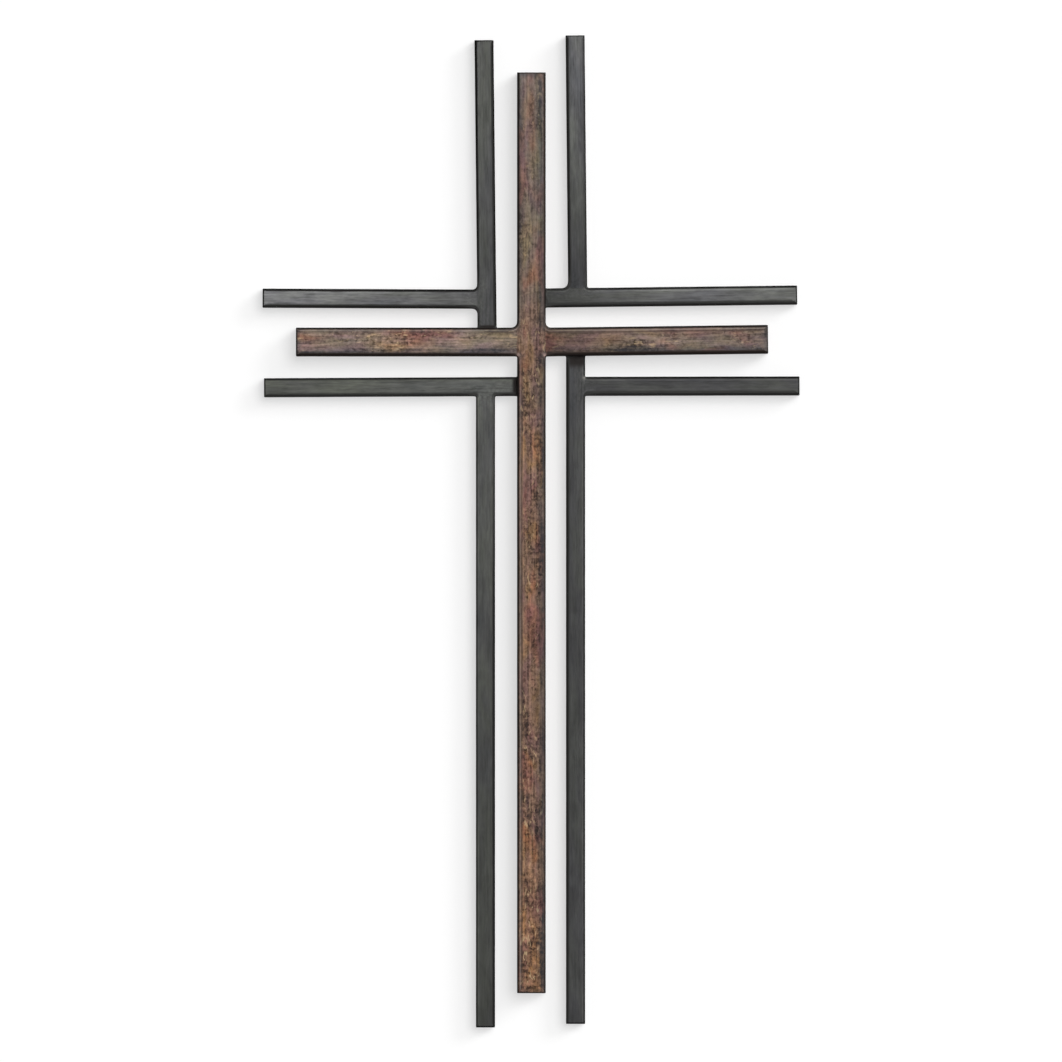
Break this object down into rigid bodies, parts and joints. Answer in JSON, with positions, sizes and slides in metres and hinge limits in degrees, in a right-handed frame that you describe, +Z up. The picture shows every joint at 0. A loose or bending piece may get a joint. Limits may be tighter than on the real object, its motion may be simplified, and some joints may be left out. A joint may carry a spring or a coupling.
{
  "type": "wall cross",
  "caption": "Welded wall cross of square steel tube: a copper-brown cross standing proud of slim dark steel tees set in its corners, with a keyhole slot in its back to hang it.",
  "frame": {"origin": "middle of the main cross's crossing, on the flat back that bears on the wall", "axes": "+Z up along the main upright, +X to the right seen from in front, +Y out of the back into the wall, so the front faces -Y"},
  "size_m": [0.3577, 0.0191, 0.661],
  "materials": {
    "copper_patina": "mottled copper-brown patina on ground steel, satin, darker at the edges",
    "dark_steel": "dark steel brushed lengthwise, satin, nearly black at the edges"
  },
  "bodies": {
    "root": {"main_upright": "copper_patina", "main_arm_left": "copper_patina", "main_arm_right": "copper_patina", "upper_left_upright": "dark_steel", "upper_left_arm": "dark_steel", "upper_right_arm": "dark_steel", "upper_right_upright": "dark_steel", "lower_left_arm": "dark_steel", "lower_left_upright": "dark_steel", "lower_right_upright": "dark_steel", "lower_right_arm": "dark_steel"}
  },
  "joints": []
}
